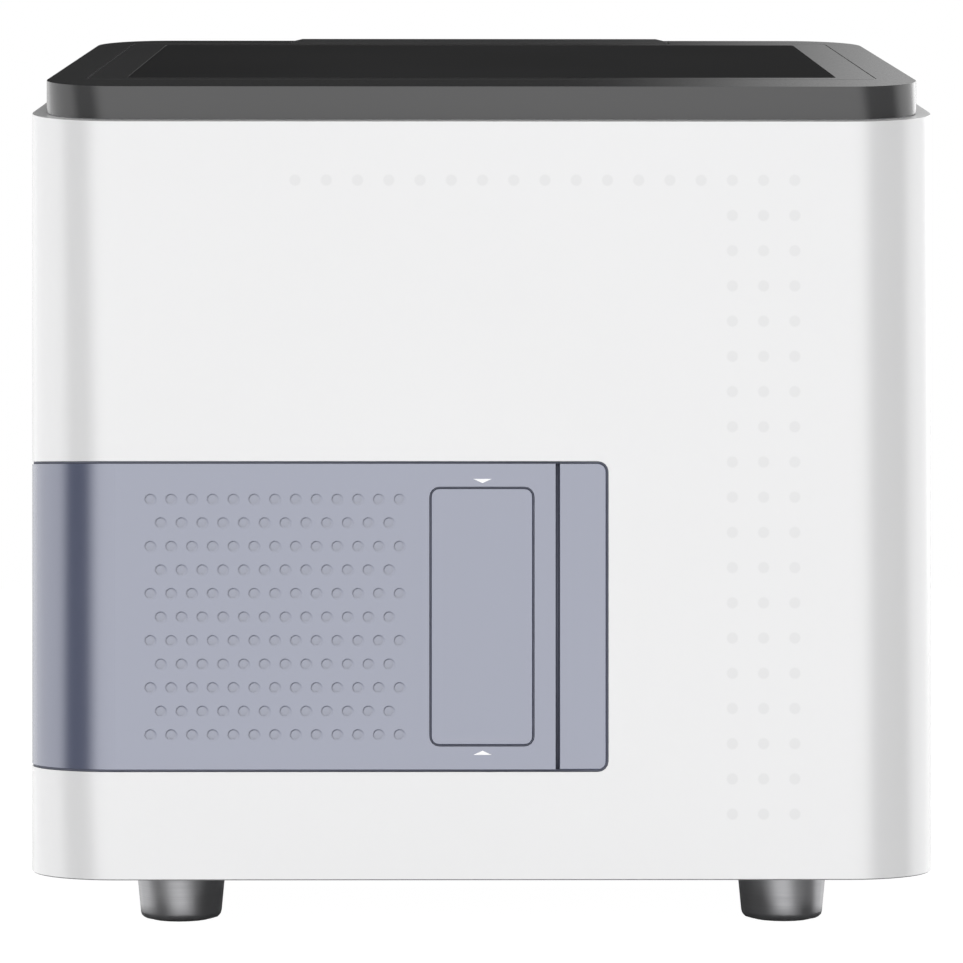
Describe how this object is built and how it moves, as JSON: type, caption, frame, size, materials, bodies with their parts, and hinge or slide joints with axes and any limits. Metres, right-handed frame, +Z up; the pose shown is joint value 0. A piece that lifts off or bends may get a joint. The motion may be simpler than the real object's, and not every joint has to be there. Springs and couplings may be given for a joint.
{
  "type": "chemiluminescence immunoassay analyzer",
  "caption": "Compact table-top analyzer: white housing, sloping touch display on top, blue-grey card door that wraps a front corner, card tray behind it, metal feet.",
  "frame": {"origin": "middle of the footprint, on the surface that the rubber foot pads rest on", "axes": "+Z up, +X to the right of a person facing the machine, the front faces -Y"},
  "size_m": [0.2734, 0.195, 0.2902],
  "materials": {
    "white_housing": "semi-gloss white moulded plastic",
    "dark_cover": "satin dark grey moulded plastic",
    "blue_grey_panel": "satin blue-grey moulded plastic",
    "dark_plastic": "matte dark moulded plastic",
    "black_plastic": "matte black plastic",
    "screen_glass": "glossy dark cover lens",
    "polished_steel": "polished",
    "sheet_steel": "zinc-plated sheet",
    "cast_aluminium": "machined",
    "black_rubber": "matte",
    "circuit_board": "green solder mask"
  },
  "bodies": {
    "machine": {"housing_shell": "white_housing", "base_plate": "cast_aluminium", "foot_front_left": "polished_steel", "foot_front_right": "polished_steel", "foot_rear_left": "polished_steel", "foot_rear_right": "polished_steel", "foot_pad_front_left": "black_rubber", "foot_pad_front_right": "black_rubber", "foot_pad_rear_left": "black_rubber", "foot_pad_rear_right": "black_rubber", "top_cover": "dark_cover", "display_bezel": "dark_cover", "touch_glass": "screen_glass", "lcd_panel": "black_plastic", "lcd_bracket": "sheet_steel", "rear_cap": "dark_cover", "catch_plate": "sheet_steel", "hinge_pin": "polished_steel", "entry_strip": "blue_grey_panel", "bay_frame": "dark_plastic", "tray_rail_left": "cast_aluminium", "tray_rail_right": "cast_aluminium", "screw_bearing": "cast_aluminium", "tray_motor": "black_plastic", "chassis_shelf": "sheet_steel", "incubator_hood": "cast_aluminium", "detector_housing": "black_plastic", "photomultiplier": "cast_aluminium", "power_supply": "cast_aluminium", "main_board": "circuit_board", "rear_panel": "sheet_steel", "fan_frame": "black_plastic", "power_inlet": "black_plastic", "switch_body": "black_plastic", "usb_socket_1": "sheet_steel", "usb_socket_2": "sheet_steel", "lan_socket": "sheet_steel"},
    "door": {"card_door": "blue_grey_panel", "pad_switch_board": "circuit_board", "door_magnet": "sheet_steel"},
    "pad": {"release_pad": "blue_grey_panel"},
    "tray": {"card_tray": "dark_plastic", "tray_nut": "cast_aluminium"},
    "lead_screw": {"tray_lead_screw": "polished_steel"},
    "rotor": {"fan_rotor": "black_plastic"},
    "rocker": {"switch_rocker": "black_plastic"}
  },
  "joints": [
    {"name": "door_hinge", "type": "hinge", "parent": "machine", "child": "door", "pos_m": [-0.1332, -0.0375, 0.09371], "axis": [0, 0, -1], "range_deg": [0, 95]},
    {"name": "pad_press", "type": "slide", "parent": "door", "child": "pad", "axis": [0, 1, 0], "range_m": [0, 0.002], "stiffness_N_per_m": 600},
    {"name": "tray_slide", "type": "slide", "parent": "machine", "child": "tray", "axis": [0, -1, 0], "range_m": [0, 0.06]},
    {"name": "screw_turn", "type": "hinge", "parent": "machine", "child": "lead_screw", "pos_m": [-0.038, 0, 0.054], "axis": [0, 1, 0], "range_deg": [0, 1080]},
    {"name": "rotor_spin", "type": "hinge", "parent": "machine", "child": "rotor", "pos_m": [-0.05, 0.085, 0.16], "axis": [0, 1, 0], "continuous": true},
    {"name": "rocker_tilt", "type": "hinge", "parent": "machine", "child": "rocker", "pos_m": [-0.052, 0.0932, 0.084], "axis": [-1, 0, 0], "range_deg": [0, 16]}
  ],
  "couplings": [
    {"joint": "tray_slide", "follows": "door_hinge", "m_per_rad": 0.036},
    {"joint": "screw_turn", "follows": "door_hinge", "ratio": 11.31}
  ]
}
